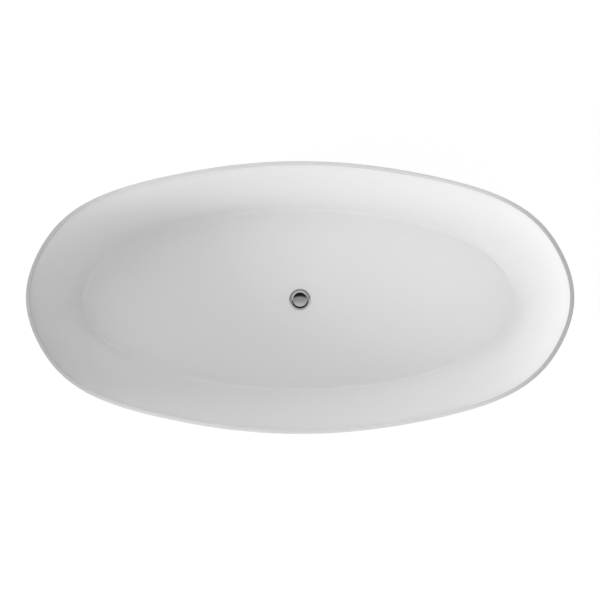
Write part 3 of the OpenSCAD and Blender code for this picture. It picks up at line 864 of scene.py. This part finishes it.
class TUB_OT_basin(bpy.types.Operator):
    """Builds the basin with its flat rim, sloped walls and falling floor"""

    bl_idname = "tub.basin"
    bl_label = "Basin"

    def execute(self, context):
        sizes, colours = context.scene.tub_shell, context.scene.tub_finish
        back, face = basin_rings(sizes)
        mesh = loft("basin_shell", back + face)
        turn_back(mesh, 0, len(back) - 1)
        piece("basin_shell", mesh, "tub", ["basin"],
              [satin_acrylic(colours, sizes), glass_fibre(colours)])
        return {"FINISHED"}


class TUB_OT_skirt(bpy.types.Operator):
    """Builds the outer skirt and finishes the glue line under the rim"""

    bl_idname = "tub.skirt"
    bl_label = "Skirt"

    def execute(self, context):
        sizes, colours = context.scene.tub_shell, context.scene.tub_finish
        face, back = skirt_rings(sizes)
        mesh = loft("skirt_shell", face + back)
        turn_back(mesh, len(face), len(face) + len(back) - 1)
        piece("skirt_shell", mesh, "tub", ["outer_skirt"],
              [skirt_acrylic(colours, sizes), glass_fibre(colours)])
        coat(glue_line(colours), "rim_bond")
        return {"FINISHED"}


class TUB_OT_waste(bpy.types.Operator):
    """Builds the chrome waste with its ring, threaded tail and cross web"""

    bl_idname = "tub.waste"
    bl_label = "Waste"

    def execute(self, context):
        sizes, colours = context.scene.tub_waste, context.scene.tub_finish
        seat = context.scene.tub_shell.seat_height
        web = seat + sizes.dish_rise - sizes.web_drop
        foot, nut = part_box("waste_flange")[0].z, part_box("waste_nut")[0].z - 0.2 * MM
        parts = [loft("tail", waste_rings(seat, sizes, nut, foot)),
                 loft("boss", boss_rings(sizes, web))]
        for k in range(4):
            parts.append(loft("spoke", spoke_rings(sizes, web, k * math.pi / 2), looped=False))
        piece("waste_body", joined("waste_body", parts), "tub", ["waste_flange"],
              [chrome_plate(colours)], crease=35)
        coat(black_rubber(colours), "waste_top_seal", "waste_low_seal")
        coat(white_poly(colours), "waste_slip_washer", "waste_nut")
        return {"FINISHED"}


class TUB_OT_plug(bpy.types.Operator):
    """Builds the domed cap of the click plug and finishes what lies under it"""

    bl_idname = "tub.plug"
    bl_label = "Click plug"

    def execute(self, context):
        sizes, colours = context.scene.tub_waste, context.scene.tub_finish
        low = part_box("plug_cap")[0].z
        mesh = loft("plug_dome", cap_rings(sizes, low), looped=False)
        piece("plug_dome", mesh, "plug", ["plug_cap"], [chrome_plate(colours)],
              crease=50)
        coat(drawn_steel(colours), "plug_plunger", "plug_spring")
        coat(turned_brass(colours), "plug_cartridge")
        coat(black_rubber(colours), "plug_seal")
        return {"FINISHED"}


class TUB_OT_frame(bpy.types.Operator):
    """Finishes the base board, the steel frame and its fasteners"""

    bl_idname = "tub.frame"
    bl_label = "Board and frame"

    def execute(self, context):
        colours = context.scene.tub_finish
        coat(particle_board(colours), "base_board")
        coat(powder_coat(colours), *nodes_with("frame_rail"), *nodes_with("cross_bar"))
        coat(zinc_plate(colours), "frame_bolts", "frame_nuts", "board_screws",
             "bracket_screws", *nodes_with("skirt_bracket"))
        return {"FINISHED"}


class TUB_OT_feet(bpy.types.Operator):
    """Builds the threaded studs and finishes the nuts, pads and soles of the feet"""

    bl_idname = "tub.feet"
    bl_label = "Screw feet"

    def execute(self, context):
        sizes, colours = context.scene.tub_feet, context.scene.tub_finish
        zinc = zinc_plate(colours)
        for name in nodes_with("foot_stud"):
            low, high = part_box(name)
            centre = ((low.x + high.x) / 2, (low.y + high.y) / 2)
            mesh = loft("stud", stud_rings(sizes, low.z, high.z, centre), looped=False)
            number = name.rsplit("_", 1)[1]
            piece(f"threaded_stud_{number}", mesh, f"stud_{number}", [name],
                  [zinc], crease=40)
        coat(zinc, "foot_carrier_nuts", "foot_lock_nuts")
        coat(black_nylon(colours), *nodes_with("foot_pad"))
        coat(black_rubber(colours), *nodes_with("foot_sole"))
        return {"FINISHED"}


# ---------------------------------------------------------------- studio

def white_floor(scene, studio):
    """A floor that keeps the tub's shadow and looks white to camera, gloss and glass."""
    form = bmesh.new()
    bmesh.ops.create_grid(form, x_segments=2, y_segments=2, size=studio.floor_size / 2)
    mesh = bpy.data.meshes.new("studio_floor")
    form.to_mesh(mesh)
    form.free()
    ground = bpy.data.objects.new("studio_floor", mesh)
    scene.collection.objects.link(ground)
    ground.location.z = -0.5 * MM
    made = Finish("floor_white", {"Base Color": tuple(studio.floor), "Roughness": 0.9})
    glow = made.node("ShaderNodeEmission", {}, {"Color": (1.0, 1.0, 1.0),
                                                "Strength": studio.floor_glow})
    surface = Wire(made, made.shader.outputs[0])
    seen = made.rays("Camera", "Glossy", "Transmission")
    both = made.node("ShaderNodeMixShader", {}, {0: studio.glow_share * seen,
                                                 1: surface, 2: glow})
    made.feed(made.tree.nodes["Material Output"].inputs["Surface"], both)
    mesh.materials.append(made.material)


def surround(scene, studio):
    """White where it is seen, an even light, and pale and dark walls in the gloss."""
    world = bpy.data.worlds.new("studio_surround")
    scene.world = world
    world.use_nodes = True
    made = Nodes(world.node_tree)
    way = made.node("ShaderNodeTexCoord", output="Generated")
    along, across, up = (made.part(way, axis) for axis in "XYZ")
    # The walls are pale, palest on the near side. A dark one stands on the far side and
    # reaches round both ends. A bright screen stands at the right, on the near half.
    near = 1 - across.ramp(-0.55, 0.05)
    dark = (across + 0.6 * along * along).ramp(0.12, 0.28) * up.ramp(0.25, 0.45)
    screen = (along.ramp(0.3, 0.5) * (1 - across.ramp(0.0, 0.15))
              * up.ramp(0.3, 0.45) * (1 - up.ramp(0.8, 0.92)))
    pale, lift, depth, bright = 0.47, 0.5, 0.97, 0.9
    walls = (pale + lift * near) * (1 - depth * dark * (1 - screen)) + bright * screen
    seen, mirrored = made.rays("Camera"), made.rays("Glossy", "Transmission")
    strength = mirrored * (walls * studio.gloss_walls) + (1 - mirrored) * studio.ambient
    background = made.tree.nodes["Background"]
    made.feed(background.inputs["Color"], (1.0, 1.0, 1.0))
    made.feed(background.inputs["Strength"], seen + (1 - seen) * strength)


class Lamp(NamedTuple):
    """A soft light from far away; its turn, rise and spread are in degrees."""

    name: str
    turn: float
    rise: float
    strength: float
    spread: float = 50
    mirrored: bool = False

    def hang(self, scene):
        """Adds the lamp; only a mirrored one shows in gloss."""
        data = bpy.data.lights.new(self.name, "SUN")
        data.energy, data.angle = self.strength, math.radians(self.spread)
        lamp = bpy.data.objects.new(self.name, data)
        scene.collection.objects.link(lamp)
        turn, rise = math.radians(self.turn), math.radians(self.rise)
        out = Vector((math.cos(turn) * math.cos(rise), math.sin(turn) * math.cos(rise),
                      math.sin(rise)))
        lamp.location = LAMP_DISTANCE * out
        lamp.rotation_euler = (-out).to_track_quat("-Z", "Y").to_euler()
        lamp.visible_camera = False
        lamp.visible_glossy = self.mirrored


LAMPS = (Lamp("key", turn=225, rise=25, strength=0.83, mirrored=True),
         Lamp("left", turn=202, rise=28, strength=0.90, spread=22),
         Lamp("far_left", turn=135, rise=10, strength=1.20, mirrored=True),
         Lamp("near_low", turn=270, rise=10, strength=0.68),
         Lamp("near_right", turn=315, rise=40, strength=0.64),
         Lamp("far_high", turn=90, rise=58, strength=0.73),
         Lamp("high_left", turn=180, rise=72, strength=0.30))


def overhead_camera(scene, studio, rim):
    """The camera over the tub, level with its length and aimed a little off its middle."""
    data = bpy.data.cameras.new("studio_camera")
    camera = bpy.data.objects.new("studio_camera", data)
    scene.collection.objects.link(camera)
    data.sensor_width = SENSOR_WIDTH
    data.lens = SENSOR_WIDTH * studio.camera_height / studio.view_width
    camera.location = (0.0, -studio.camera_back, rim + studio.camera_height)
    aim = Vector((0.0, studio.aim, rim)) - camera.location
    camera.rotation_euler = aim.to_track_quat("-Z", "Y").to_euler()
    scene.camera = camera


class TUB_OT_stage(bpy.types.Operator):
    """Sets up the floor, the studio light and the camera"""

    bl_idname = "tub.stage"
    bl_label = "Studio"

    def execute(self, context):
        scene, studio = context.scene, context.scene.tub_studio
        white_floor(scene, studio)
        surround(scene, studio)
        for lamp in LAMPS:
            lamp.hang(scene)
        overhead_camera(scene, studio, scene.tub_shell.tub_height)
        scene.view_settings.view_transform = "Standard"
        return {"FINISHED"}


class TUB_PT_sidebar(bpy.types.Panel):
    """Lists the sizes, the colours and the steps that build the bathtub"""

    bl_idname = "TUB_PT_sidebar"
    bl_label = "Bathtub"
    bl_space_type = "VIEW_3D"
    bl_region_type = "UI"
    bl_category = "Bathtub"

    def draw(self, context):
        layout = self.layout
        for step in STEPS:
            layout.operator(step.bl_idname)
        for name, title in (("tub_shell", "Shells"), ("tub_waste", "Waste"),
                            ("tub_feet", "Feet"), ("tub_finish", "Colours"),
                            ("tub_studio", "Studio")):
            box = layout.box()
            box.label(text=title)
            group = getattr(context.scene, name)
            for key in group.__annotations__:
                box.prop(group, key)


GROUPS = {"tub_shell": ShellSizes, "tub_waste": WasteSizes, "tub_feet": FootSizes,
          "tub_finish": FinishColours, "tub_studio": StudioSettings}
STEPS = (TUB_OT_basin, TUB_OT_skirt, TUB_OT_waste, TUB_OT_plug, TUB_OT_frame, TUB_OT_feet,
         TUB_OT_stage)


def register():
    """Registers the sizes, the steps and the panel."""
    for name, group in GROUPS.items():
        bpy.utils.register_class(group)
        setattr(bpy.types.Scene, name, PointerProperty(type=group))
    for cls in (*STEPS, TUB_PT_sidebar):
        bpy.utils.register_class(cls)


def unregister():
    """Takes back what register() did."""
    for cls in (TUB_PT_sidebar, *reversed(STEPS)):
        bpy.utils.unregister_class(cls)
    for name, group in reversed(GROUPS.items()):
        delattr(bpy.types.Scene, name)
        bpy.utils.unregister_class(group)


def main():
    """Builds the bathtub and the studio."""
    register()
    for step in STEPS:
        group, name = step.bl_idname.split(".")
        getattr(getattr(bpy.ops, group), name)()


if __name__ == "__main__":
    main()
